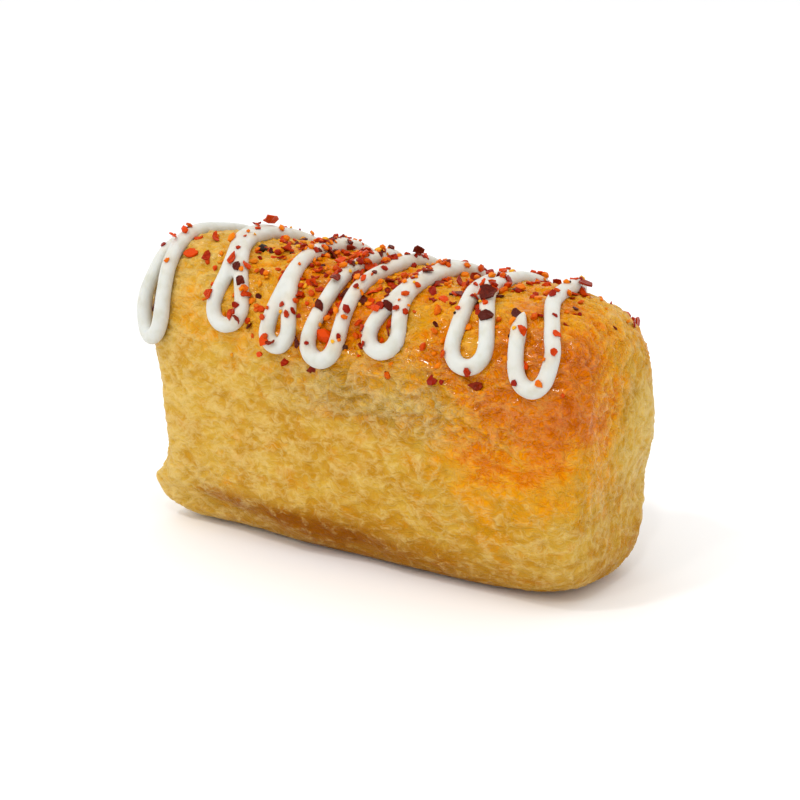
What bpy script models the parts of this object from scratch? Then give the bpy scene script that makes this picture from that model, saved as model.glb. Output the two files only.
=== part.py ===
"""Inari sushi: a sweet fried-tofu pouch, folded shut, with mayonnaise piped over it in one zigzag.

Metres, +Z up. X runs along the pouch and its front looks along -Y. The origin is on the surface the piece
rests on, under the middle of the whole piece.
"""

import math
from typing import NamedTuple

import bmesh
import bpy
from mathutils import Vector, noise
from mathutils.bvhtree import BVHTree

MM = 0.001

# The middle of the whole piece, seen from above, in the coordinates that the sizes below use.
MIDDLE = Vector((-1.1, -0.4, 0)) * MM

# The pouch: its overall size, and how square its outline is (2 is round, and more is squarer).
LENGTH = 72 * MM
DEPTH = 29 * MM
HEIGHT = 43.6 * MM
WIDEST_HEIGHT = 0.5 * HEIGHT
TOP_SQUARENESS = 3.0
BASE_SQUARENESS = 3.4
LEFT_END_SQUARENESS = (11.5, 9.0)
RIGHT_END_SQUARENESS = (8.5, 6.8)
TALLER_LEFT = 0.03
CUTS_LENGTH = 32
CUTS_DEPTH = 10
CUTS_HEIGHT = 19
FOOT_TRIM = 0.7 * MM

# Soft dents all over the skin.
DENT_SPACING = 13 * MM
DENT_DEPTH = 0.7 * MM
FOOT_HEIGHT = 5 * MM

# The mouth is folded under along the front foot: a lip that thins out to the right, with a crease over it.
LIP_START = -36 * MM
LIP_END = 4 * MM
LIP_HEIGHT = 4.2 * MM
LIP_BULGE = 0.7 * MM
CREASE_WIDTH = 1.3 * MM
CREASE_DEPTH = 0.9 * MM


class Bump(NamedTuple):
    """A small bulge or hollow: where it is, how far it reaches, and how it pushes the skin."""

    place: Vector
    reach: float
    shift: Vector


BUMPS = (
    Bump(Vector((-35, -12, 4.5)) * MM, 4.5 * MM, Vector((-5.2, -0.8, 0)) * MM),  # ear of the lip
    Bump(Vector((-24, -12, 0)) * MM, 9.0 * MM, Vector((0, 0.2, 1.1)) * MM),  # left heel
    Bump(Vector((-35, -11, 16)) * MM, 6.0 * MM, Vector((0.8, 0.1, 0)) * MM),  # hollow over the ear
    Bump(Vector((-36, -8, 34)) * MM, 8.0 * MM, Vector((-3.4, 0, 0.3)) * MM),  # left shoulder
    Bump(Vector((-31, -4, 42)) * MM, 6.5 * MM, Vector((0, 0, 2.1)) * MM),  # left crown
    Bump(Vector((4, 0, 43)) * MM, 17.0 * MM, Vector((0, 0, -1.0)) * MM),  # saddle of the ridge
    Bump(Vector((26, -2, 42)) * MM, 10.0 * MM, Vector((0, 0, 0.7)) * MM),  # right crown
    Bump(Vector((36, 8, 15)) * MM, 4.0 * MM, Vector((-1.2, 0, 0)) * MM),  # step of the right end
    Bump(Vector((36, 5, 23)) * MM, 7.0 * MM, Vector((0.8, 0, 0)) * MM),  # belly of the right end
    Bump(Vector((34, -12, 0)) * MM, 10.0 * MM, Vector((-0.4, 0.2, 1.2)) * MM),  # right heel
)

# The mayonnaise: one round bead that hangs in loops down the front and turns again behind the ridge.
BEAD_RADIUS = 1.15 * MM
BEAD_GAP = 0.35 * MM
BACK_DROP = 9.5 * MM
BACK_TURN_WIDTH = 4.0 * MM
MIDDLE_SHARE = 0.33
ROUTE_STEP = 0.8 * MM
TAPER_LENGTH = 3.0 * MM
TIP_ANGLE = math.radians(22)
TURN_STEPS = 10
STRAND_STEPS = 24
BEVEL_STEPS = 2
REMESH_CELL = 0.32 * MM
KEPT_SHARE = 0.053


class Loop(NamedTuple):
    """One loop of the bead down the front of the pouch. Strands are placed by where they are along it."""

    turn: float  # its lowest point
    drop: float  # how far that point hangs below the ridge
    wide: float  # spacing of its strands over the turn
    left_middle: float  # its left strand, half-way up
    left_ridge: float  # its left strand, at the ridge
    right_middle: float  # its right strand, half-way up
    right_ridge: float  # its right strand, at the ridge


LOOPS = tuple(
    Loop(*(value * MM for value in loop))
    for loop in (
        (-36.3, 14.5, 6.2, -38.9, -36.2, -34.0, -34.6),
        (-21.5, 10.8, 5.9, -23.3, -26.7, -20.7, -25.0),
        (-11.8, 12.2, 4.4, -13.0, -13.8, -11.6, -13.2),
        (-4.3, 13.1, 5.1, -5.5, -5.3, -1.8, -0.9),
        (5.6, 10.7, 5.6, 4.6, 5.6, 6.9, 6.6),
        (19.3, 10.7, 5.5, 16.4, 14.1, 20.5, 15.9),
        (29.7, 12.1, 5.8, 25.9, 24.8, 31.9, 26.3),
    )
)


def eased(value):
    """0 to 1 with soft ends, for a value that runs from 0 to 1."""
    value = min(max(value, 0.0), 1.0)
    return value * value * (3 - 2 * value)


def mixed(pair, share):
    """A value between the two of a pair."""
    return pair[0] + (pair[1] - pair[0]) * eased(share)


def plain_form(corner):
    """A point of a cube with sides from -1 to 1, moved onto the pouch's plain rounded form."""
    upper = 0.5 + corner.z
    section = mixed((BASE_SQUARENESS, TOP_SQUARENESS), upper)
    ends = mixed((mixed(LEFT_END_SQUARENESS, upper), mixed(RIGHT_END_SQUARENESS, upper)), 0.5 + 2 * corner.x)
    across = (abs(corner.y) ** section + abs(corner.z) ** section) ** (1 / section)
    unit = corner / (across**ends + abs(corner.x) ** ends) ** (1 / ends)
    above = HEIGHT - WIDEST_HEIGHT if unit.z > 0 else WIDEST_HEIGHT
    height = (WIDEST_HEIGHT + unit.z * above) * (1 - TALLER_LEFT * unit.x)
    return Vector((unit.x * LENGTH / 2, unit.y * DEPTH / 2, height))


def folded_lip(point, outward):
    """How far the folded lip stands out along the foot, and its crease goes in."""
    if outward.y > -0.2:
        return 0.0
    along = eased((LIP_END - point.x) / (LIP_END - LIP_START))
    top = LIP_HEIGHT * (0.4 + 0.6 * along)
    bulge = LIP_BULGE * eased((top - point.z) / CREASE_WIDTH + 0.5)
    crease = CREASE_DEPTH * math.exp(-(((point.z - top - CREASE_WIDTH / 2) / CREASE_WIDTH) ** 2))
    return along * (bulge - crease)


def skin_shift(point, outward):
    """How the dents, the lip and the bumps move one point of the plain form."""
    dent = DENT_DEPTH * noise.noise(point / DENT_SPACING) * eased(point.z / FOOT_HEIGHT)
    shift = outward * (dent + folded_lip(point, outward))
    for bump in BUMPS:
        shift += bump.shift * math.exp(-(((point - bump.place).length / bump.reach) ** 2))
    return shift


def pouch_shape():
    """The pouch's one closed skin, flat underneath."""
    shape = bmesh.new()
    bmesh.ops.create_cube(shape, size=2)
    for axis, cuts in enumerate((CUTS_LENGTH, CUTS_DEPTH, CUTS_HEIGHT)):
        normal = Vector((axis == 0, axis == 1, axis == 2))
        for step in range(1, cuts):
            everything = shape.verts[:] + shape.edges[:] + shape.faces[:]
            place = normal * (2 * step / cuts - 1)
            bmesh.ops.bisect_plane(shape, geom=everything, dist=1e-6, plane_co=place, plane_no=normal)
    for vert in shape.verts:
        vert.co = plain_form(vert.co)
    shape.normal_update()
    places = [vert.co + skin_shift(vert.co, vert.normal) for vert in shape.verts]
    for vert, place in zip(shape.verts, places):
        vert.co = Vector((place.x, place.y, max(place.z - FOOT_TRIM, 0)))
    underside = [face for face in shape.faces if all(vert.co.z == 0 for vert in face.verts)]
    bmesh.ops.dissolve_faces(shape, faces=underside)
    return shape


def hang_angle(drop):
    """The turn round the section, from the ridge, at which a strand hangs this far below the ridge."""
    crown = HEIGHT - WIDEST_HEIGHT
    return math.acos(((crown - drop) / crown) ** (TOP_SQUARENESS / 2))


def near_section(along, angle):
    """A point just outside the pouch, at a turn round its section. The front is positive."""
    clear = 2 * BEAD_RADIUS
    reach = math.copysign(abs(math.sin(angle)) ** (2 / TOP_SQUARENESS), angle)
    rise = math.cos(angle) ** (2 / TOP_SQUARENESS)
    crown = HEIGHT - WIDEST_HEIGHT + clear
    return Vector((along, -(DEPTH / 2 + clear) * reach, WIDEST_HEIGHT + crown * rise))


def hairpin(centre, width, drop, side, heading):
    """Points of one turn as (along, angle). Side and heading are 1 for the front and for towards +X."""
    points = []
    for step in range(TURN_STEPS + 1):
        swing = math.pi * step / TURN_STEPS
        lowest = drop - width / 2 * (1 - math.sin(swing))
        points.append((centre - heading * width / 2 * math.cos(swing), side * hang_angle(lowest)))
    return points


def back_climb(turn_end, ridge):
    """Points from the end of a turn behind up to the ridge."""
    along, angle = turn_end
    shares = [step / STRAND_STEPS for step in range(1, STRAND_STEPS)]
    return [(mixed((along, ridge), share), angle * (1 - share)) for share in shares]


def front_climb(turn_end, middle, ridge):
    """Points from the end of a turn on the front up to the ridge, on one bow through the middle."""
    along, angle = turn_end
    points = []
    for step in range(1, STRAND_STEPS):
        share = step / STRAND_STEPS
        place = along * (share - MIDDLE_SHARE) * (share - 1) / MIDDLE_SHARE
        place += middle * share * (1 - share) / (MIDDLE_SHARE * (1 - MIDDLE_SHARE))
        place += ridge * share * (share - MIDDLE_SHARE) / (1 - MIDDLE_SHARE)
        points.append((place, angle * (1 - share)))
    return points


def bead_route():
    """The whole bead from its tip on the right to its end on the left, as (along, angle)."""
    first = LOOPS[-1]
    front = hairpin(first.turn, first.wide, first.drop, 1, 1)
    tip = front_climb(front[0], first.left_middle, first.left_ridge)[::-1]
    route = [point for point in tip if point[1] > TIP_ANGLE] + front
    leaving = (first.right_middle, first.right_ridge)
    for loop in LOOPS[-2::-1]:
        back = hairpin((leaving[1] + loop.right_ridge) / 2, BACK_TURN_WIDTH, BACK_DROP, -1, -1)
        front = hairpin(loop.turn, loop.wide, loop.drop, 1, -1)
        route += front_climb(route[-1], *leaving) + back_climb(back[0], leaving[1])[::-1] + back
        route += back_climb(back[-1], loop.right_ridge)
        route += front_climb(front[0], loop.right_middle, loop.right_ridge)[::-1] + front
        leaving = (loop.left_middle, loop.left_ridge)
    return route + [point for point in front_climb(route[-1], *leaving) if point[1] > TIP_ANGLE]


def bead_line(pouch):
    """Evenly spaced points of the bead's middle line, laid over the pouch."""
    surface = BVHTree.FromBMesh(pouch)
    laid = []
    for along, angle in bead_route():
        outside = near_section(along, angle)
        skin = surface.find_nearest(outside)[0]
        laid.append(skin + (outside - skin).normalized() * (BEAD_RADIUS + BEAD_GAP))
    line = [laid[0]]
    for point in laid[1:]:
        while (point - line[-1]).length > ROUTE_STEP:
            line.append(line[-1] + (point - line[-1]).normalized() * ROUTE_STEP)
    return line


def make_bead(pouch, material):
    """The bead as one solid, fused where its strands meet."""
    line = bead_line(pouch)
    curve = bpy.data.curves.new("mayonnaise_line", "CURVE")
    curve.dimensions = "3D"
    curve.bevel_depth = BEAD_RADIUS
    curve.bevel_resolution = BEVEL_STEPS
    curve.use_fill_caps = True
    spline = curve.splines.new("POLY")
    spline.points.add(len(line) - 1)
    for index, (point, place) in enumerate(zip(spline.points, line)):
        from_end = ROUTE_STEP * min(index + 0.2, len(line) - 0.8 - index)
        point.co = (*place, 1)
        point.radius = min(1, from_end / TAPER_LENGTH) ** 0.6
    guide = bpy.data.objects.new("mayonnaise_guide", curve)
    mesh = bpy.data.meshes.new_from_object(guide)
    bpy.data.objects.remove(guide)
    shape = bmesh.new()
    shape.from_mesh(mesh)
    bead = finish("mayonnaise_zigzag", shape, material)
    fuse = bead.modifiers.new("Fuse", "REMESH")
    fuse.mode = "VOXEL"
    fuse.voxel_size = REMESH_CELL
    fuse.use_smooth_shade = True
    thin = bead.modifiers.new("Thin", "DECIMATE")
    thin.ratio = KEPT_SHARE
    return bead


def finish(name, shape, material):
    """A named object from a finished bmesh, smooth-shaded, with its material."""
    mesh = bpy.data.meshes.new(name)
    shape.to_mesh(mesh)
    shape.free()
    mesh.materials.append(material)
    mesh.shade_smooth()
    piece = bpy.data.objects.new(name, mesh)
    piece.location = -MIDDLE
    bpy.context.scene.collection.objects.link(piece)
    return piece


def finish_material(name, colour, roughness):
    """A plain dielectric finish."""
    material = bpy.data.materials.new(name)
    material.use_nodes = True
    shader = material.node_tree.nodes["Principled BSDF"]
    shader.inputs["Base Color"].default_value = (*colour, 1)
    shader.inputs["Roughness"].default_value = roughness
    shader.inputs["Metallic"].default_value = 0
    return material


def main():
    """Clears the scene and makes each piece."""
    for old in list(bpy.data.objects):
        bpy.data.objects.remove(old)
    skin = finish_material("fried_tofu_skin", (0.62, 0.36, 0.07), 0.35)
    mayonnaise = finish_material("mayonnaise", (0.87, 0.84, 0.78), 0.3)
    pouch = pouch_shape()
    make_bead(pouch, mayonnaise)
    finish("pouch", pouch, skin)


main()
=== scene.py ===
import logging
import math
import random
from collections.abc import Iterator, Mapping, Sequence
from dataclasses import dataclass
from enum import Enum
from typing import Any, NamedTuple

import bmesh
import bpy
from mathutils import Matrix, Vector, noise
from mathutils.bvhtree import BVHTree
from mathutils.kdtree import KDTree


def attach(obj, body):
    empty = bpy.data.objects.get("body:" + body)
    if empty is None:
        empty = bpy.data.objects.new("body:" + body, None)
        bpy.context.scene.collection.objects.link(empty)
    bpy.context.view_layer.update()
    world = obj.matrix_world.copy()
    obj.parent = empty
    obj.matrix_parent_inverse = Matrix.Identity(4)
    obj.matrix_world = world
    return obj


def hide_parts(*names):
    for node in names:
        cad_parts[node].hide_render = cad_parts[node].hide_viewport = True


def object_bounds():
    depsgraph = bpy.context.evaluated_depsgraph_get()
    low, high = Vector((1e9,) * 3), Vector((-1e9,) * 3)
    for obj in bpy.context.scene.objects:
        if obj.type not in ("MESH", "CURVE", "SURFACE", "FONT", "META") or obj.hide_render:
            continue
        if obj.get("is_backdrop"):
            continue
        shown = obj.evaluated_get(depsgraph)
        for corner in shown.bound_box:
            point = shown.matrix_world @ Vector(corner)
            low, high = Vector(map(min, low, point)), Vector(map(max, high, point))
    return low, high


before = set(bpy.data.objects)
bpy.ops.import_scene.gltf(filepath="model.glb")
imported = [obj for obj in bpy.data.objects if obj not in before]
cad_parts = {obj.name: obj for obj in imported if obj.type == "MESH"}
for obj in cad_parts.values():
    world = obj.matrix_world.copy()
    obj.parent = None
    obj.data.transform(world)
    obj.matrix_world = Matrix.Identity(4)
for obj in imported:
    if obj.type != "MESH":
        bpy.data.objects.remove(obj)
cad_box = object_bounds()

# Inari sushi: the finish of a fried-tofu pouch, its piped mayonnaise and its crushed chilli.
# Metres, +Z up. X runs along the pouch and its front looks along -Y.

MM = 0.001
LOG = logging.getLogger("inari")

Colour = tuple[float, float, float, float]


def colour(red: int, green: int, blue: int) -> Colour:
    """A shader colour.

    Args:
        red: Red of the finished surface, 0 to 255 as a screen shows it.
        green: Green, likewise.
        blue: Blue, likewise.

    Returns:
        The same colour as linear light, opaque.
    """
    shares = (value / 255 for value in (red, green, blue))
    linear = [share / 12.92 if share <= 0.04045 else ((share + 0.055) / 1.055) ** 2.4 for share in shares]
    return (linear[0], linear[1], linear[2], 1.0)


def eased(value: float) -> float:
    """0 to 1 with soft ends, for a value that runs from 0 to 1."""
    value = min(max(value, 0.0), 1.0)
    return value * value * (3 - 2 * value)


def rise(value: float, low: float, high: float) -> float:
    """0 below low, 1 above high, and soft in between."""
    return eased((value - low) / (high - low))


# ---------------------------------------------------------------- shader graphs


class Wire:
    """One shader value. Arithmetic on it adds Math nodes."""

    def __init__(self, graph: "Graph", socket: bpy.types.NodeSocket) -> None:
        """Wraps an output socket of a graph."""
        self.graph = graph
        self.socket = socket

    def maths(self, operation: str, first: Any, second: Any) -> "Wire":
        """The Math node for an operation on two values."""
        return self.graph.wire("ShaderNodeMath", {"operation": operation}, {0: first, 1: second})

    def __add__(self, other: Any) -> "Wire":
        """Sum."""
        return self.maths("ADD", self, other)

    def __radd__(self, other: Any) -> "Wire":
        """Sum with a number in front."""
        return self.maths("ADD", other, self)

    def __sub__(self, other: Any) -> "Wire":
        """Difference."""
        return self.maths("SUBTRACT", self, other)

    def __rsub__(self, other: Any) -> "Wire":
        """Difference from a number in front."""
        return self.maths("SUBTRACT", other, self)

    def __mul__(self, other: Any) -> "Wire":
        """Product."""
        return self.maths("MULTIPLY", self, other)

    def __rmul__(self, other: Any) -> "Wire":
        """Product with a number in front."""
        return self.maths("MULTIPLY", other, self)

    def __pow__(self, other: Any) -> "Wire":
        """Power."""
        return self.maths("POWER", self, other)

    def __abs__(self) -> "Wire":
        """Size without its sign."""
        return self.maths("ABSOLUTE", self, 0.0)

    def clamped(self) -> "Wire":
        """Kept from 0 to 1."""
        return self.graph.wire("ShaderNodeClamp", {}, {0: self})


class Graph:
    """A new material and the nodes of its one Principled shader."""

    def __init__(self, name: str, constants: Mapping[str, Any]) -> None:
        """Makes the material.

        Args:
            name: The material's name.
            constants: What is the same all over the surface, by the name of the shader's socket.
        """
        self.material = bpy.data.materials.new(name)
        self.material.use_nodes = True
        self.tree = self.material.node_tree
        self.shader = self.tree.nodes["Principled BSDF"]
        for socket, value in constants.items():
            self.shader.inputs[socket].default_value = value

    def node(self, kind: str, settings: Mapping[str, Any], sockets: Mapping[Any, Any]) -> bpy.types.Node:
        """Adds a node.

        Args:
            kind: Its type.
            settings: Its properties, which are set first.
            sockets: A value or a wire for each input, by name or number.

        Returns:
            The node.
        """
        made = self.tree.nodes.new(kind)
        for name, value in settings.items():
            setattr(made, name, value)
        for name, value in sockets.items():
            self.feed(made.inputs[name], value)
        return made

    def feed(self, socket: bpy.types.NodeSocket, value: Any) -> None:
        """Links a wire to an input, or sets the input to a value."""
        if isinstance(value, Wire):
            self.tree.links.new(value.socket, socket)
        else:
            socket.default_value = value

    def wire(self, kind: str, settings: Mapping[str, Any], sockets: Mapping[Any, Any], output: int = 0) -> Wire:
        """Adds a node and returns one of its outputs."""
        return Wire(self, self.node(kind, settings, sockets).outputs[output])

    def place_mm(self) -> Wire:
        """The place on the object, in millimetres."""
        place = self.wire("ShaderNodeTexCoord", {}, {}, 3)
        return self.wire("ShaderNodeVectorMath", {"operation": "SCALE"}, {0: place, 3: 1 / MM})

    def stretched(self, place: Wire, factors: Sequence[float]) -> Wire:
        """A place with each of its three parts multiplied."""
        return self.wire("ShaderNodeVectorMath", {"operation": "MULTIPLY"}, {0: place, 1: factors})

    def curled(self, place: Wire, spacing: float, reach: float) -> Wire:
        """A place pushed about by soft noise, so that straight patterns curl.

        Args:
            place: The place, in millimetres.
            spacing: How far apart the pushes are.
            reach: How far they push.

        Returns:
            The pushed place.
        """
        push = self.wire("ShaderNodeTexNoise", {}, {"Vector": place, "Scale": 1 / spacing, "Detail": 1.0}, 1)
        centred = self.wire("ShaderNodeVectorMath", {"operation": "SUBTRACT"}, {0: push, 1: (0.5, 0.5, 0.5)})
        settings = {"operation": "MULTIPLY_ADD"}
        return self.wire("ShaderNodeVectorMath", settings, {0: centred, 1: (reach, reach, reach), 2: place})

    def clouds(self, place: Wire, scale: float, detail: float = 3.0) -> Wire:
        """Soft noise from 0 to 1 at a place."""
        return self.wire("ShaderNodeTexNoise", {}, {"Vector": place, "Scale": scale, "Detail": detail})

    def strands(self, place: Wire, scale: float, detail: float, sharpness: float) -> Wire:
        """Thin winding lines: 1 on a line, falling to 0 beside it."""
        return (1 - abs(self.clouds(place, scale, detail) * 2 - 1)) ** sharpness

    def attribute(self, name: str) -> Wire:
        """A number painted on the mesh."""
        return self.wire("ShaderNodeAttribute", {"attribute_name": name}, {}, 2)

    def step(self, value: Wire, low: float, high: float) -> Wire:
        """0 below low, 1 above high, and soft in between."""
        settings = {"interpolation_type": "SMOOTHSTEP", "clamp": True}
        return self.wire("ShaderNodeMapRange", settings, {0: value, 1: low, 2: high, 3: 0.0, 4: 1.0})

    def blend(self, first: Any, second: Any, share: Any) -> Wire:
        """A colour between two colours."""
        return self.wire("ShaderNodeMix", {"data_type": "RGBA"}, {0: share, 6: first, 7: second}, 2)

    def raise_bump(self, height: Wire, depth: float, strength: float) -> None:
        """Feeds the shader's normal from a height.

        Args:
            height: The height, 0 to 1.
            depth: How deep the relief is, in metres.
            strength: Its share, 0 to 1.
        """
        sockets = {"Height": height, "Distance": depth, "Strength": strength}
        self.feed(self.shader.inputs["Normal"], self.wire("ShaderNodeBump", {}, sockets))

    def paint(self, **surface: Wire) -> bpy.types.Material:
        """Feeds the shader's sockets and returns the material.

        Args:
            **surface: A wire for each socket, named with _ for a space.

        Returns:
            The finished material.
        """
        for name, value in surface.items():
            self.feed(self.shader.inputs[name.replace("_", " ")], value)
        return self.material


# ---------------------------------------------------------------- finishes


@dataclass(frozen=True)
class TofuFinish:
    """Moist fried tofu: golden, with pale ragged fibres and darker soaked patches, plus painted shade, painted rim
    light and painted highlights.
    """

    gold: Colour = colour(184, 130, 20)
    straw: Colour = colour(200, 156, 54)
    cream: Colour = colour(222, 194, 122)
    syrup: Colour = colour(220, 158, 36)
    # The next colour is used for random spots and as painted shade in the hollows between crests.
    honey_and_hollow_shade: Colour = colour(190, 120, 2)
    yolk: Colour = colour(228, 152, 0)
    amber: Colour = colour(214, 116, 0)
    rust: Colour = colour(194, 92, 0)
    # The next colour is painted shade, for the foot and the crease.
    shade_brown: Colour = colour(136, 76, 0)

    def material(self) -> bpy.types.Material:
        """The finish, which reads the mesh's soak, ridge, wet, painted shade at the foot and crease, and pale painted
        rim light.
        """
        graph = Graph(
            "fried_tofu",
            {
                "IOR": 1.42,
                "Specular IOR Level": 0.03,
                "Subsurface Weight": 0.25,
                "Subsurface Radius": (1.0, 0.7, 0.35),
                "Subsurface Scale": 0.6 * MM,
                "Coat Roughness": 0.1,
                "Coat IOR": 1.45,
            },
        )
        place = graph.place_mm()
        soak = graph.attribute("soak")
        ridge = graph.attribute("ridge")
        foot_and_crease_shade = graph.attribute("foot_and_crease_shade")
        pale = graph.attribute("pale")
        wet = graph.attribute("wet")
        curly = graph.curled(place, 2.0, 2.2)
        fibres = graph.strands(graph.stretched(curly, (0.45, 0.85, 0.85)), 1.0, 2.5, 4.0)
        threads = graph.strands(graph.stretched(curly, (1.2, 2.0, 2.0)), 1.0, 2.0, 4.0)
        blotches = graph.clouds(graph.stretched(curly, (0.2, 0.3, 0.3)), 1.0, 3.0)
        spots = graph.clouds(graph.stretched(place, (0.3, 0.4, 0.4)), 1.0, 4.0)
        grain = graph.clouds(graph.stretched(curly, (1.1, 2.2, 2.2)), 1.0, 3.0)

        # The ends are drawn paler here and below: painted rim light.
        base = graph.blend(self.gold, self.straw, graph.step(blotches + pale * 0.3, 0.36, 0.7))
        base = graph.blend(base, self.honey_and_hollow_shade, graph.step(spots - pale * 0.15, 0.5, 0.72) * 0.6)
        depth = soak + (spots - 0.5) * 0.7 + (0.5 - grain) * 0.9 - ridge * 0.3
        soaked = graph.blend(self.yolk, self.amber, graph.step(depth, 0.2, 0.75))
        soaked = graph.blend(soaked, self.rust, graph.step(depth, 0.7, 1.25))
        base = graph.blend(base, soaked, graph.step(soak + (spots - 0.5) * 0.9 + (0.5 - grain) * 0.4, 0.0, 0.7))
        # Painted shade: darker near the foot and in the crease over the lip.
        base = graph.blend(base, self.shade_brown, (foot_and_crease_shade * (0.7 + spots * 0.6)).clamped())
        crest = ridge * 0.5 + fibres * 0.4 + threads * 0.2 + grain * 0.2
        # Painted shade: darker in the hollows between crests.
        base = graph.blend(base, self.honey_and_hollow_shade, graph.step(0.4 - crest, 0.0, 0.3) * 0.35)
        # Light fibres on the crests, with painted highlight where wet, painted rim light at the ends, and fewer under
        # painted shade.
        fibres_and_painted_light = graph.step(crest + pale * 0.35 + wet * 0.12 - soak * 0.3 - foot_and_crease_shade * 0.25, 0.5, 1.2)
        base = graph.blend(base, graph.blend(self.cream, self.syrup, graph.step(soak, 0.15, 0.7)), fibres_and_painted_light * 0.6)

        height = (fibres * 0.5 + threads * 0.5 + grain * 0.4) * (0.6 + wet * 0.9)
        graph.raise_bump(height, 0.3 * MM, 1.0)
        glisten = graph.step(threads * 0.5 + grain * 0.5 + ridge * 0.3, 0.58, 0.74) * (0.15 + wet * 0.85)
        return graph.paint(Base_Color=base, Roughness=0.3 - wet * 0.14 + grain * 0.04, Coat_Weight=glisten)


@dataclass(frozen=True)
class MayonnaiseFinish:
    """Smooth white sauce, faintly stained where chilli lies on it."""

    white: Colour = colour(206, 207, 201)
    shade: Colour = colour(197, 197, 186)
    oil: Colour = colour(222, 170, 100)

    def material(self) -> bpy.types.Material:
        """The finish, which reads the mesh's stain."""
        graph = Graph(
            "mayonnaise",
            {
                "IOR": 1.46,
                "Specular IOR Level": 0.3,
                "Subsurface Weight": 0.8,
                "Subsurface Radius": (1.0, 0.9, 0.75),
                "Subsurface Scale": 0.8 * MM,
            },
        )
        place = graph.place_mm()
        mottle = graph.clouds(place, 0.5, 3.0)
        base = graph.blend(self.white, self.shade, graph.step(mottle, 0.4, 0.7))
        stain = graph.attribute("stain") * (0.5 + mottle)
        base = graph.blend(base, self.oil, stain.clamped())
        graph.raise_bump(graph.clouds(place, 1.2, 2.0), 0.05 * MM, 0.25)
        return graph.paint(Base_Color=base, Roughness=0.42 + mottle * 0.12)


@dataclass(frozen=True)
class ChilliFinish:
    """One colour range of crushed chilli."""

    name: str
    dark: Colour
    bright: Colour
    roughness: float

    def material(self) -> bpy.types.Material:
        """The finish, which reads each flake's own tone."""
        graph = Graph(
            self.name,
            {
                "IOR": 1.5,
                "Specular IOR Level": 0.1,
            },
        )
        place = graph.place_mm()
        mottle = graph.clouds(place, 2.4, 3.0)
        share = graph.step(graph.attribute("tone") + (mottle - 0.5) * 0.9, 0.1, 0.9)
        graph.raise_bump(graph.clouds(place, 4.5, 2.0), 0.08 * MM, 0.6)
        base = graph.blend(self.dark, self.bright, share)
        return graph.paint(Base_Color=base, Roughness=self.roughness + mottle * 0.15)


# ---------------------------------------------------------------- shared shapes


@dataclass(frozen=True)
class Section:
    """The pouch's rounded cross-section, round which places on it are measured."""

    middle: float = 0.4 * MM
    half_depth: float = 14.5 * MM
    waist: float = 21.8 * MM
    crown: float = 21.8 * MM
    squareness: float = 3.0

    def outside(self, along: float, angle: float, clear: float) -> Vector:
        """A point just outside the section.

        Args:
            along: The place along the pouch.
            angle: The turn from the ridge, positive on the front.
            clear: How far outside.

        Returns:
            The point.
        """
        reach = math.copysign(abs(math.sin(angle)) ** (2 / self.squareness), angle)
        climb = math.cos(angle) ** (2 / self.squareness)
        across = self.middle - (self.half_depth + clear) * reach
        return Vector((along, across, self.waist + (self.crown + clear) * climb))

    def hang_angle(self, drop: float) -> float:
        """The turn from the ridge at which a strand hangs this far below it."""
        return math.acos(((self.crown - drop) / self.crown) ** (self.squareness / 2))

    def turn_of(self, place: Vector) -> float:
        """The turn of a place round the section's middle, in degrees, positive on the front."""
        return math.degrees(math.atan2(self.middle - place.y, place.z - self.waist))


SECTION = Section()


def finished(name: str, shape: bmesh.types.BMesh, material: bpy.types.Material, smooth: bool) -> bpy.types.Object:
    """A piece of the object, made from a bmesh, which it frees.

    Args:
        name: The piece's name.
        shape: Its shape, in place.
        material: Its finish.
        smooth: Whether its faces are shaded smooth.

    Returns:
        The piece.
    """
    mesh = bpy.data.meshes.new(name)
    shape.to_mesh(mesh)
    shape.free()
    mesh.materials.append(material)
    if smooth:
        mesh.shade_smooth()
    piece = bpy.data.objects.new(name, mesh)
    bpy.context.scene.collection.objects.link(piece)
    return piece


def remeshed(mesh: bpy.types.Mesh, cell: float, smoothing: int) -> bmesh.types.BMesh:
    """An even, closed shape from any closed mesh, which it removes.

    Args:
        mesh: The mesh.
        cell: The size of the new faces.
        smoothing: How often the steps between cells are smoothed.

    Returns:
        The new shape.
    """
    guide = bpy.data.objects.new("guide", mesh)
    bpy.context.scene.collection.objects.link(guide)
    even = guide.modifiers.new("Even", "REMESH")
    even.mode = "VOXEL"
    even.voxel_size = cell
    graph = bpy.context.evaluated_depsgraph_get()
    shape = bmesh.new()
    shape.from_object(guide, graph)
    bpy.data.objects.remove(guide)
    bpy.data.meshes.remove(mesh)
    for _ in range(smoothing):
        axes = {"use_axis_x": True, "use_axis_y": True, "use_axis_z": True}
        bmesh.ops.smooth_vert(shape, verts=shape.verts, factor=0.5, **axes)
    shape.normal_update()
    return shape


# ---------------------------------------------------------------- pouch


class Patch(NamedTuple):
    """A soft round patch on the skin, in millimetres."""

    place: tuple[float, float, float]
    reach: float
    strength: float


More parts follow.
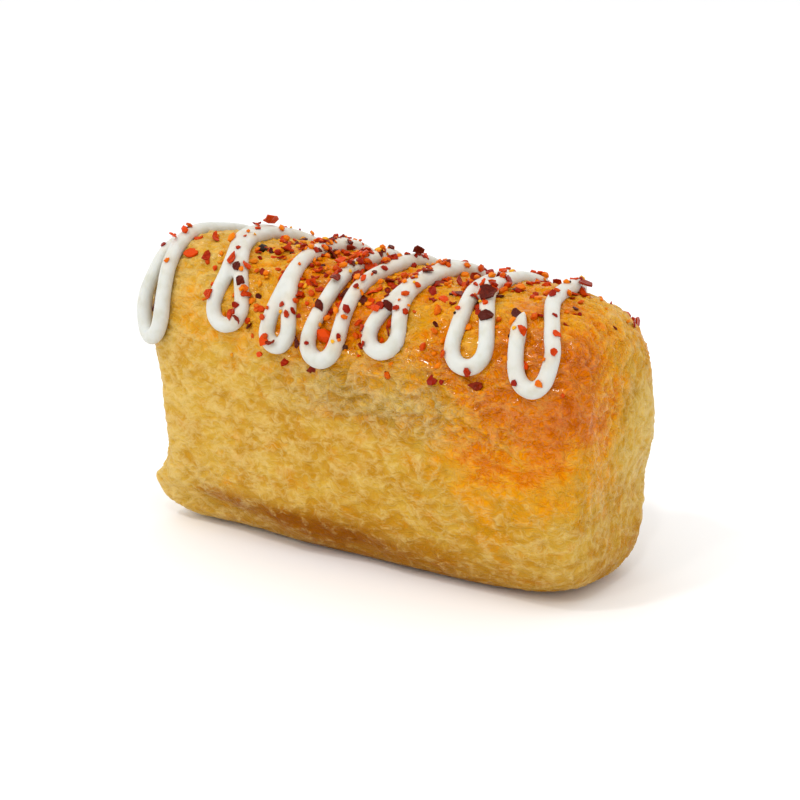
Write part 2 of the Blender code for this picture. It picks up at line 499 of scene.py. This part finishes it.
@dataclass
class TofuPouch:
    """The fried-tofu pouch, folded shut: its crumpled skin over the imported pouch's form."""

    cell: float = 0.36 * MM
    smoothing: int = 5
    broad: float = 0.25 * MM
    wrinkle: float = 0.22 * MM
    flake: float = 0.15 * MM
    curl_spacing: float = 5.0
    curl_reach: float = 2.2
    soaked: tuple[Patch, ...] = (
        Patch((37, -6, 27), 12, 0.36),
        Patch((36, -7, 35), 10, 0.32),
        Patch((29, -15, 26), 12, 0.5),
        Patch((26, -15, 25), 5, 0.25),
        Patch((22, -15, 19), 5, 0.25),
        Patch((-22, -14, 6), 4, 0.5),
    )
    # Patches of painted rim light at the ends: paler and less soaked there.
    rim_light_patches: tuple[Patch, ...] = (
        Patch((-38, -13, 6), 6, 1.0),
        Patch((-37, -10, 20), 7, 0.5),
        Patch((-36, -4, 40), 8, 0.5),
        Patch((38, 10, 22), 9, 0.8),
        Patch((35, 5, 41), 6, 0.5),
        Patch((36, -11, 7), 6, 0.3),
    )

    def ridge(self, place: Vector) -> float:
        """Sharp-crested wrinkles, 0 in the hollows and 1 on the crests."""
        return (1 - min(1.0, 2.0 * abs(noise.noise(place)))) ** 1.3

    def relief(self, place: Vector) -> tuple[float, float]:
        """The skin's crumpling at a place.

        Args:
            place: The place, in millimetres.

        Returns:
            How far the skin stands out, in metres, and how much of a crest it is, 0 to 1.
        """
        drawn = place + noise.noise_vector(place / self.curl_spacing) * self.curl_reach
        long_fold = self.ridge(Vector((drawn.x / 3.8, drawn.y / 2.0, drawn.z / 2.0)))
        short_fold = self.ridge(Vector((drawn.x / 1.9 + 40, drawn.y / 1.2, drawn.z / 1.2)))
        crumple = self.wrinkle * (long_fold - 0.4) + self.flake * (short_fold - 0.4)
        out = self.broad * noise.noise(drawn / 7.5) + crumple * (1 + 1.8 * self.knee(place) + 0.8 * self.top(place))
        out += 0.8 * MM * self.near(place, Patch((-38, -13, 8), 2.2, 1))
        return out, 0.6 * long_fold + 0.4 * short_fold

    def side(self, place: Vector) -> float:
        """1 round the long sides, falling to 0 towards the middle of each end, in millimetres."""
        return rise(math.hypot(place.y / 14.5, (place.z - 22) / 22), 0.5, 0.9)

    def knee(self, place: Vector) -> float:
        """1 where the skin bulges wet and puckered under the loops, 0 elsewhere, in millimetres."""
        turn = SECTION.turn_of(place * MM)
        round_it = rise(turn, 36, 52) * (1 - rise(turn, 74, 94))
        return round_it * rise(place.x, -18, 2) * (1 - rise(place.x, 25, 34))

    def top(self, place: Vector) -> float:
        """1 on top of the pouch, falling to 0 down its sides, in millimetres."""
        return 1 - rise(abs(SECTION.turn_of(place * MM)), 25, 60)

    def soak(self, place: Vector) -> float:
        """How far the sauce has soaked the skin at a place, in millimetres: most between the strands."""
        turn = abs(SECTION.turn_of(place * MM))
        band = (1 - rise(turn, 44, 72)) * self.side(place)
        amount = band * (0.3 + 0.5 * math.exp(-(((place.x + 2) / 14) ** 2)) + 0.2 * rise(place.x, 8, 20))
        for patch in self.soaked:
            amount += patch.strength * self.near(place, patch)
        # Painted rim light also takes soak away at the ends.
        for patch in self.rim_light_patches:
            amount -= 0.6 * patch.strength * self.near(place, patch)
        return min(1.3, max(0.0, amount * (1 + 0.5 * noise.noise(place / 6))))

    def pale(self, place: Vector) -> float:
        """Painted rim light: how much paler the skin is drawn at a place, in millimetres: most at its ends."""
        amount = 0.35 * (1 - rise(place.x, -34, 6))
        for patch in self.rim_light_patches:
            amount += patch.strength * self.near(place, patch)
        return min(1.0, amount)

    def foot_and_crease_shade(self, place: Vector) -> float:
        """Painted shade: how far the skin is darkened near its foot and in the crease over its folded lip."""
        foot = (1 - rise(place.z, 1, 11)) * (0.15 + 0.85 * rise(place.x, -34, -6)) * (1 - 0.55 * rise(place.x, 12, 30))
        height = 6.6 - 1.6 * rise(place.x, -24, 6)
        crease = math.exp(-(((place.z - height) / 2.0) ** 2)) * (1 - rise(place.x, -4, 16)) * rise(place.x, -31, -24)
        return min(1.0, 0.7 * foot + 0.65 * crease * rise(-place.y, 4, 10))

    def near(self, place: Vector, patch: Patch) -> float:
        """1 in the middle of a patch, falling to 0 round it."""
        return math.exp(-(((place - Vector(patch.place)).length / patch.reach) ** 2))

    def build(self, material: bpy.types.Material) -> bpy.types.Object:
        """Makes the pouch's skin.

        Args:
            material: The tofu's finish.

        Returns:
            The piece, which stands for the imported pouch.
        """
        packed = bmesh.new()
        packed.from_mesh(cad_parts["pouch"].data)
        bmesh.ops.remove_doubles(packed, verts=packed.verts, dist=1e-6)
        mesh = bpy.data.meshes.new("pouch_guide")
        packed.to_mesh(mesh)
        packed.free()
        shape = remeshed(mesh, self.cell, self.smoothing)
        soak = shape.verts.layers.float.new("soak")
        ridge = shape.verts.layers.float.new("ridge")
        foot_and_crease_shade = shape.verts.layers.float.new("foot_and_crease_shade")
        pale = shape.verts.layers.float.new("pale")
        wet = shape.verts.layers.float.new("wet")
        for vert in shape.verts:
            place = vert.co / MM
            out, crest = self.relief(place)
            standing = eased(place.z / 2)
            vert[ridge] = crest
            vert[soak] = self.soak(place)
            vert[foot_and_crease_shade] = self.foot_and_crease_shade(place)
            vert[pale] = self.pale(place)
            vert[wet] = min(1.0, self.knee(place) + 0.8 * vert[soak])
            vert.co += vert.normal * out * standing
            vert.co.z = max(0.0, vert.co.z)
        piece = finished("tofu_pouch", shape, material, True)
        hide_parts("pouch")
        return piece


# ---------------------------------------------------------------- mayonnaise


class Loop(NamedTuple):
    """One loop of the bead down the front, in millimetres. Strands are placed by where they are along it."""

    turn: float
    drop: float
    wide: float
    left_middle: float
    left_ridge: float
    right_middle: float
    right_ridge: float


@dataclass
class MayonnaiseZigzag:
    """One piped bead that hangs in loops down the front and turns again behind the ridge."""

    radius: float = 1.17 * MM
    lie: float = 0.66 * MM
    corner_lie: float = 1.45 * MM
    cell: float = 0.25 * MM
    smoothing: int = 8
    back_drop: float = 9.5 * MM
    back_width: float = 4.0 * MM
    middle_share: float = 0.33
    spacing: float = 0.5 * MM
    taper: float = 3.0 * MM
    tip_angle: float = math.radians(22)
    end_angle: float = math.radians(5)
    turn_steps: int = 10
    strand_steps: int = 24
    loops: tuple[Loop, ...] = (
        Loop(-35.2, 14.5, 6.2, -37.8, -35.1, -32.9, -33.5),
        Loop(-20.4, 10.8, 5.9, -22.2, -25.6, -19.6, -23.9),
        Loop(-10.7, 12.2, 4.4, -11.9, -12.7, -10.5, -12.1),
        Loop(-3.2, 13.1, 5.1, -4.4, -4.2, -0.7, 0.2),
        Loop(6.7, 10.7, 5.6, 5.7, 6.7, 8.0, 7.7),
        Loop(20.4, 10.7, 5.5, 17.5, 15.2, 21.6, 17.0),
        Loop(30.8, 12.1, 5.8, 27.0, 25.9, 33.0, 27.4),
    )

    def hairpin(self, centre: float, width: float, drop: float, side: int, heading: int) -> list[tuple[float, float]]:
        """Points of one turn.

        Args:
            centre: The middle of the turn along the pouch.
            width: The spacing of its two strands.
            drop: How far its end hangs below the ridge.
            side: 1 on the front, -1 behind.
            heading: 1 towards +X, -1 towards -X.

        Returns:
            The points, as places along the pouch and turns from the ridge.
        """
        points = []
        for step in range(self.turn_steps + 1):
            swing = math.pi * step / self.turn_steps
            lowest = drop - width / 2 * (1 - math.sin(swing))
            points.append((centre - heading * width / 2 * math.cos(swing), side * SECTION.hang_angle(lowest)))
        return points

    def back_climb(self, turn_end: tuple[float, float], ridge: float) -> list[tuple[float, float]]:
        """Points from the end of a turn behind up to the ridge."""
        along, angle = turn_end
        shares = [step / self.strand_steps for step in range(1, self.strand_steps)]
        return [(along + (ridge - along) * eased(share), angle * (1 - share)) for share in shares]

    def front_climb(self, turn_end: tuple[float, float], middle: float, ridge: float) -> list[tuple[float, float]]:
        """Points from the end of a turn on the front up to the ridge, on one bow.

        Args:
            turn_end: The turn's end, as a place along the pouch and a turn from the ridge.
            middle: Where the strand is along the pouch half-way up.
            ridge: Where it is at the ridge.

        Returns:
            The points, in the same form.
        """
        along, angle = turn_end
        knot = self.middle_share
        points = []
        for step in range(1, self.strand_steps):
            share = step / self.strand_steps
            place = along * (share - knot) * (share - 1) / knot
            place += middle * share * (1 - share) / (knot * (1 - knot))
            place += ridge * share * (share - knot) / (1 - knot)
            points.append((place, angle * (1 - share)))
        return points

    def route(self) -> list[tuple[float, float]]:
        """The whole bead, from its tip on the right to its end on the left."""
        loops = [Loop(*(value * MM for value in loop)) for loop in self.loops]
        first = loops[-1]
        front = self.hairpin(first.turn, first.wide, first.drop, 1, 1)
        tip = self.front_climb(front[0], first.left_middle, first.left_ridge)[::-1]
        route = [point for point in tip if point[1] > self.tip_angle] + front
        leaving = (first.right_middle, first.right_ridge)
        for loop in loops[-2::-1]:
            middle = (leaving[1] + loop.right_ridge) / 2
            back = self.hairpin(middle, self.back_width, self.back_drop, -1, -1)
            front = self.hairpin(loop.turn, loop.wide, loop.drop, 1, -1)
            route += self.front_climb(route[-1], *leaving) + self.back_climb(back[0], leaving[1])[::-1] + back
            route += self.back_climb(back[-1], loop.right_ridge)
            route += self.front_climb(front[0], loop.right_middle, loop.right_ridge)[::-1] + front
            leaving = (loop.left_middle, loop.left_ridge)
        return route + [point for point in self.front_climb(route[-1], *leaving) if point[1] > self.end_angle]

    def laid(self, surface: BVHTree) -> list[Vector]:
        """The bead's middle line on the pouch, with its corners rounded off."""
        places = []
        for along, angle in self.route():
            outside = SECTION.outside(along, angle, 2 * self.radius)
            skin = surface.find_nearest(outside)[0]
            corner = (1 - rise(along / MM, -33, -27)) * (0.45 + 0.55 * rise(math.degrees(angle), 10, 35))
            lie = self.lie + (self.corner_lie - self.lie) * corner
            places.append(skin + (outside - skin).normalized() * lie)
        for _ in range(6):
            inner = [(before + 2 * here + after) / 4 for before, here, after in zip(places, places[1:], places[2:])]
            places = [places[0], *inner, places[-1]]
        return places

    def line(self, surface: BVHTree) -> list[Vector]:
        """Evenly spaced points of the bead's middle line."""
        laid = self.laid(surface)
        line = [laid[0]]
        for point in laid[1:]:
            while (point - line[-1]).length > self.spacing:
                line.append(line[-1] + (point - line[-1]).normalized() * self.spacing)
        return line

    def build(self, material: bpy.types.Material) -> bpy.types.Object:
        """Pipes the bead.

        Args:
            material: The mayonnaise's finish.

        Returns:
            The piece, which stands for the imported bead.
        """
        packed = bmesh.new()
        packed.from_mesh(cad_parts["pouch"].data)
        line = self.line(BVHTree.FromBMesh(packed))
        packed.free()
        curve = bpy.data.curves.new("bead_line", "CURVE")
        curve.dimensions = "3D"
        curve.bevel_depth = self.radius
        curve.bevel_resolution = 4
        curve.use_fill_caps = True
        spline = curve.splines.new("POLY")
        spline.points.add(len(line) - 1)
        for index, (point, place) in enumerate(zip(spline.points, line)):
            from_end = self.spacing * min(index + 0.2, len(line) - 0.8 - index)
            swell = 1 + 0.04 * noise.noise(place / (4 * MM)) + 0.07 * rise(SECTION.turn_of(place), 38, 56)
            point.co = (*place, 1)
            point.radius = min(1, from_end / self.taper) ** 0.6 * swell
        guide = bpy.data.objects.new("bead_guide", curve)
        mesh = bpy.data.meshes.new_from_object(guide)
        bpy.data.objects.remove(guide)
        shape = remeshed(mesh, self.cell, self.smoothing)
        shape.verts.layers.float.new("stain")
        piece = finished("mayonnaise_bead", shape, material, True)
        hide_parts("mayonnaise_zigzag")
        return piece


# ---------------------------------------------------------------- chilli


class Form(Enum):
    """How a bit of chilli is shaped."""

    CHIP = "a curved ragged chip of pepper skin"
    CRUMB = "a lump of pepper flesh or seed"


@dataclass(frozen=True)
class ChilliSort:
    """One sort of bit in the crushed chilli."""

    name: str
    form: Form
    finish: ChilliFinish
    count: int
    smallest: float
    largest: float


class Hero(NamedTuple):
    """A large flake with a place of its own."""

    sort: str
    along: float
    turn: float
    size: float
    tilt: float
    spin: float


class Perch(NamedTuple):
    """Where a flake lies: a point of the surface and the way it faces."""

    place: Vector
    facing: Vector


RED = ChilliFinish("chilli_red", colour(138, 22, 0), colour(206, 64, 0), 0.2)
DARK = ChilliFinish("chilli_dark", colour(76, 16, 2), colour(138, 36, 4), 0.2)
ORANGE = ChilliFinish("chilli_orange", colour(190, 60, 0), colour(224, 118, 0), 0.2)
YELLOW = ChilliFinish("chilli_yellow", colour(208, 116, 0), colour(226, 164, 30), 0.25)
BLACK = ChilliFinish("chilli_black", colour(32, 18, 10), colour(76, 40, 24), 0.2)


@dataclass
class ChilliSprinkle:
    """Crushed chilli strewn over the top, on the skin and on the mayonnaise."""

    seed: int = 7
    thickness: float = 0.22 * MM
    stain_reach: float = 1.3 * MM
    sorts: tuple[ChilliSort, ...] = (
        ChilliSort("chilli_red_chips", Form.CHIP, RED, 230, 0.8 * MM, 1.9 * MM),
        ChilliSort("chilli_red_lumps", Form.CRUMB, RED, 90, 0.7 * MM, 1.6 * MM),
        ChilliSort("chilli_dark_chips", Form.CHIP, DARK, 80, 0.8 * MM, 2.0 * MM),
        ChilliSort("chilli_orange_crumbs", Form.CRUMB, ORANGE, 330, 0.6 * MM, 1.5 * MM),
        ChilliSort("chilli_yellow_crumbs", Form.CRUMB, YELLOW, 120, 0.5 * MM, 1.2 * MM),
        ChilliSort("chilli_black_specks", Form.CRUMB, BLACK, 10, 0.5 * MM, 0.9 * MM),
    )
    heroes: tuple[Hero, ...] = (
        Hero("chilli_red_lumps", -3.3, 45, 2.9, 0, 60),
        Hero("chilli_red_lumps", 28, -14, 2.0, 0, 10),
        Hero("chilli_black_specks", -20.6, 11, 2.0, 10, 40),
        Hero("chilli_black_specks", 0.4, 49, 1.2, 10, 90),
        Hero("chilli_dark_chips", -18.9, 33, 1.9, 10, 20),
        Hero("chilli_dark_chips", 6.3, 32, 1.8, 10, 30),
        Hero("chilli_dark_chips", -4.6, 61, 1.5, 10, 0),
        Hero("chilli_dark_chips", -4, 24, 2.2, 30, 80),
        Hero("chilli_dark_chips", -8, 26, 1.6, 35, 10),
        Hero("chilli_red_chips", -12, 54, 2.0, 10, 20),
        Hero("chilli_red_chips", -9, 60, 1.6, 15, 70),
        Hero("chilli_orange_crumbs", 8.1, 57, 1.5, 0, 20),
        Hero("chilli_orange_crumbs", 32, 50, 1.3, 0, 50),
        Hero("chilli_dark_chips", 20.2, 20, 2.4, 15, 200),
        Hero("chilli_dark_chips", 21.7, 29, 2.2, 10, 100),
        Hero("chilli_dark_chips", 27.9, -12, 2.4, 50, 80),
        Hero("chilli_dark_chips", 0.8, -12, 2.2, 60, 30),
        Hero("chilli_dark_chips", 12.1, -8, 1.8, 75, 0),
        Hero("chilli_red_chips", 27.7, 32, 1.6, 5, 0),
        Hero("chilli_dark_chips", -10.5, 2, 2.3, 15, 0),
        Hero("chilli_dark_chips", -2.2, 26, 2.2, 40, 110),
        Hero("chilli_red_chips", -25.6, -10, 2.6, 50, 10),
        Hero("chilli_red_chips", 32.9, 37, 1.2, 5, 0),
        Hero("chilli_red_chips", 28.6, 52, 1.1, 5, 90),
        Hero("chilli_dark_chips", 21.9, 54, 1.8, 10, 90),
        Hero("chilli_red_chips", 15.3, 56, 2.2, 15, 20),
        Hero("chilli_red_chips", -33.1, 22, 1.8, 75, 90),
        Hero("chilli_red_chips", -30.1, 24, 2.2, 30, 30),
        Hero("chilli_red_chips", -19.5, 26, 1.8, 10, 50),
        Hero("chilli_red_chips", -22.0, 26, 1.7, 10, 150),
        Hero("chilli_red_chips", -17.5, 37, 1.6, 10, 80),
        Hero("chilli_red_chips", -23.4, 40, 2.2, 10, 70),
        Hero("chilli_dark_chips", 8.1, 57, 1.4, 20, 20),
    )

    def surfaces(self, pieces: Sequence[bpy.types.Object]) -> list[BVHTree]:
        """What the flakes can land on."""
        graph = bpy.context.evaluated_depsgraph_get()
        return [BVHTree.FromObject(piece, graph) for piece in pieces]

    def perch(self, surfaces: Sequence[BVHTree], along: float, turn: float) -> Perch | None:
        """Where a flake that comes in square to the pouch lands.

        Args:
            surfaces: What it can land on.
            along: Its place along the pouch.
            turn: Its turn from the ridge in degrees, positive on the front.

        Returns:
            The outermost point that it meets, or None where it misses.
        """
        angle = math.radians(turn)
        outward = Vector((0, -math.sin(angle), math.cos(angle)))
        start = Vector((along, SECTION.middle, SECTION.waist)) + outward * 0.06
        hits = [surface.ray_cast(start, -outward) for surface in surfaces]
        found = [hit for hit in hits if hit[0] is not None]
        if not found:
            return None
        nearest = min(found, key=lambda hit: hit[3])
        return Perch(nearest[0], nearest[1])

    def density(self, along: float, turn: float) -> float:
        """How thickly the chilli lies, 0 to 1, at a place in millimetres and degrees."""
        band = (1 - rise(turn, 38, 66)) * rise(turn, -66, -40)
        thick = 0.16 + 0.84 * math.exp(-(((along + 6) / 13) ** 2)) + 0.3 * math.exp(-(((along - 19) / 6) ** 2))
        crest = 0.3 + 0.7 * math.exp(-(((turn - 4) / 18) ** 2))
        clump = 0.25 + 0.75 * rise(noise.noise(Vector((along / 2.6, turn / 7, self.seed))), -0.15, 0.4)
        return band * min(1.0, thick) * crest * clump

    def landings(self, surfaces: Sequence[BVHTree], dice: random.Random) -> Iterator[Perch]:
        """Places for flakes, thickest where the density is greatest."""
        while True:
            along = dice.uniform(-36, 36)
            turn = dice.uniform(-70, 68)
            if dice.random() > self.density(along, turn):
                continue
            perch = self.perch(surfaces, along * MM, turn)
            if perch is not None:
                yield perch

    def lay(self, perch: Perch, tilt: float, spin: float, lift: float) -> Matrix:
        """The matrix that lays a flake on its perch.

        Args:
            perch: Where it lies.
            tilt: How far it stands up from lying flat, in degrees.
            spin: Which way it points, in degrees.
            lift: How far its middle is over the surface.

        Returns:
            The matrix.
        """
        facing = perch.facing.to_track_quat("Z", "X").to_matrix().to_4x4()
        turned = Matrix.Rotation(math.radians(spin), 4, "Z") @ Matrix.Rotation(math.radians(tilt), 4, "X")
        return Matrix.Translation(perch.place + perch.facing * lift) @ facing @ turned

    def add_chip(self, shape: bmesh.types.BMesh, dice: random.Random, size: float) -> None:
        """Adds a curved ragged chip, flat on the ground at the origin."""
        longer = dice.uniform(0.9, 1.35)
        ring = bmesh.ops.create_circle(shape, cap_ends=True, segments=8, radius=size / 2)["verts"]
        for vert in ring:
            vert.co *= dice.uniform(0.6, 1.08)
            vert.co.x *= longer
            vert.co.y /= longer
        faces = list({face for vert in ring for face in vert.link_faces})
        poked = bmesh.ops.poke(shape, faces=faces)
        bow = dice.uniform(-0.9, 0.9) / size
        for vert in {vert for face in poked["faces"] for vert in face.verts}:
            vert.co.z += bow * vert.co.x**2 + dice.uniform(-0.06, 0.06) * size
        thickness = self.thickness * dice.uniform(0.7, 1.4)
        bmesh.ops.solidify(shape, geom=poked["faces"], thickness=thickness)

    def add_crumb(self, shape: bmesh.types.BMesh, dice: random.Random, size: float) -> None:
        """Adds an angular crumb at the origin."""
        lump = bmesh.ops.create_icosphere(shape, subdivisions=1, radius=size / 2)["verts"]
        stretch = Vector((dice.uniform(0.9, 1.3), dice.uniform(0.7, 1.0), dice.uniform(0.5, 0.8)))
        for vert in lump:
            vert.co *= dice.uniform(0.75, 1.15)
            vert.co = Vector(part * factor for part, factor in zip(vert.co, stretch))

    def add_bit(
        self, shape: bmesh.types.BMesh, form: Form, dice: random.Random, size: float, matrix: Matrix
    ) -> None:
        """Adds one bit of chilli in its place, with a tone of its own."""
        start = len(shape.verts)
        if form is Form.CHIP:
            self.add_chip(shape, dice, size)
        else:
            self.add_crumb(shape, dice, size)
        shape.verts.ensure_lookup_table()
        tone = shape.verts.layers.float["tone"]
        shade = dice.random()
        for vert in shape.verts[start:]:
            vert.co = matrix @ vert.co
            vert[tone] = shade

    def build(self, pouch: bpy.types.Object, bead: bpy.types.Object) -> list[bpy.types.Object]:
        """Strews the chilli and stains the mayonnaise under it.

        Args:
            pouch: The skin.
            bead: The mayonnaise.

        Returns:
            One piece for each sort.
        """
        surfaces = self.surfaces((pouch, bead))
        dice = random.Random(self.seed)
        landings = self.landings(surfaces, dice)
        pieces = []
        spots = []
        for sort in self.sorts:
            shape = bmesh.new()
            shape.verts.layers.float.new("tone")
            for hero in (hero for hero in self.heroes if hero.sort == sort.name):
                perch = self.perch(surfaces, hero.along * MM, hero.turn)
                size = hero.size * MM
                lift = 0.1 * size + 0.35 * size * math.sin(math.radians(hero.tilt))
                matrix = self.lay(perch, hero.tilt, hero.spin, lift)
                self.add_bit(shape, sort.form, dice, size, matrix)
                spots.append(matrix.translation)
            for _ in range(sort.count):
                perch = next(landings)
                size = sort.smallest + (sort.largest - sort.smallest) * dice.random() ** 1.4
                tilt = abs(dice.gauss(0, 24))
                lift = size * (0.12 + 0.3 * math.sin(math.radians(tilt)))
                matrix = self.lay(perch, tilt, dice.uniform(0, 360), lift)
                self.add_bit(shape, sort.form, dice, size, matrix)
                spots.append(matrix.translation)
            bmesh.ops.recalc_face_normals(shape, faces=shape.faces)
            piece = finished(sort.name, shape, sort.finish.material(), False)
            pieces.append(piece)
        self.stain(bead, spots)
        return pieces

    def stain(self, bead: bpy.types.Object, spots: Sequence[Vector]) -> None:
        """Paints the bead's stain round each flake that lies near it."""
        tree = KDTree(len(spots))
        for index, spot in enumerate(spots):
            tree.insert(spot, index)
        tree.balance()
        stain = bead.data.attributes["stain"].data
        for vert, cell in zip(bead.data.vertices, stain):
            near = tree.find_n(vert.co, 3)
            total = sum(math.exp(-((distance / self.stain_reach) ** 2)) for _, _, distance in near)
            cell.value = min(1.0, 0.12 * total)


# ---------------------------------------------------------------- studio


class Lamp(NamedTuple):
    """A square soft light: its bearing and height in degrees, distance, side, and share of full light."""

    name: str
    azimuth: float
    elevation: float
    distance: float
    side: float
    share: float


@dataclass
class Studio:
    """A plain pale floor, soft light from all round and above, and the camera."""

    floor_side: float = 6.0
    sky: float = 1.0
    lamps: tuple[Lamp, ...] = (
        Lamp("overhead", 10, 72, 0.6, 0.34, 0.08),
        Lamp("left_glint", -25, 58, 0.8, 0.06, 0.16),
        Lamp("right_glint", 25, 50, 0.8, 0.05, 0.09),
        Lamp("front_glint", -5, 38, 0.8, 0.04, 0.06),
    )
    azimuth: float = 33.0
    elevation: float = 17.5
    distance: float = 0.295
    target: Vector = Vector((1.1, 0.4, 21.25)) * MM
    lens: float = 89.8
    shift: tuple[float, float] = (-0.0016, 0.0103)

    def bearing(self, azimuth: float, elevation: float) -> Vector:
        """The direction out to a place round the object: azimuth 0 is in front, and 90 is at +X."""
        turn, lift = math.radians(azimuth), math.radians(elevation)
        return Vector((math.sin(turn) * math.cos(lift), -math.cos(turn) * math.cos(lift), math.sin(lift)))

    def aim(self, thing: bpy.types.Object, azimuth: float, elevation: float, distance: float) -> None:
        """Puts a lamp or camera at a bearing, looking at the target."""
        back = self.bearing(azimuth, elevation)
        thing.location = self.target + back * distance
        thing.rotation_euler = (-back).to_track_quat("-Z", "Y").to_euler()
        bpy.context.scene.collection.objects.link(thing)

    def build(self) -> None:
        """Makes the floor, the lights and the camera."""
        scene = bpy.context.scene
        scene.view_settings.view_transform = "Standard"
        shape = bmesh.new()
        bmesh.ops.create_grid(shape, x_segments=1, y_segments=1, size=self.floor_side / 2)
        paper = Graph("pale_floor", {"Base Color": colour(250, 250, 250), "Roughness": 0.8})
        floor = finished("floor", shape, paper.material, False)
        floor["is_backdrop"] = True
        world = bpy.data.worlds.new("pale_studio")
        world.use_nodes = True
        background = world.node_tree.nodes["Background"]
        background.inputs["Color"].default_value = (1.0, 1.0, 1.0, 1.0)
        background.inputs["Strength"].default_value = self.sky
        scene.world = world
        for lamp in self.lamps:
            light = bpy.data.lights.new(lamp.name, "AREA")
            light.size = lamp.side
            light.energy = lamp.share * (math.pi * lamp.distance) ** 2
            self.aim(bpy.data.objects.new(lamp.name, light), lamp.azimuth, lamp.elevation, lamp.distance)
        camera = bpy.data.cameras.new("camera")
        camera.lens = self.lens
        camera.shift_x, camera.shift_y = self.shift
        camera.clip_start = 0.01
        eye = bpy.data.objects.new("camera", camera)
        self.aim(eye, self.azimuth, self.elevation, self.distance)
        scene.camera = eye


def main() -> None:
    """Builds each piece, lets it ride on the pouch's body, and sets up the studio."""
    logging.basicConfig(level=logging.INFO, format="%(message)s")
    Studio().build()
    pouch = TofuPouch().build(TofuFinish().material())
    bead = MayonnaiseZigzag().build(MayonnaiseFinish().material())
    chilli = ChilliSprinkle().build(pouch, bead)
    for piece in (pouch, bead, *chilli):
        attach(piece, "root")
        piece.data.calc_loop_triangles()
        LOG.info("%s: %d triangles", piece.name, len(piece.data.loop_triangles))
    boxes = {"cad": cad_box, "visual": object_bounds()}
    {name: [list(corner) for corner in box] for name, box in boxes.items()}
    LOG.info("boxes: %s", boxes)


if __name__ == "__main__":
    main()
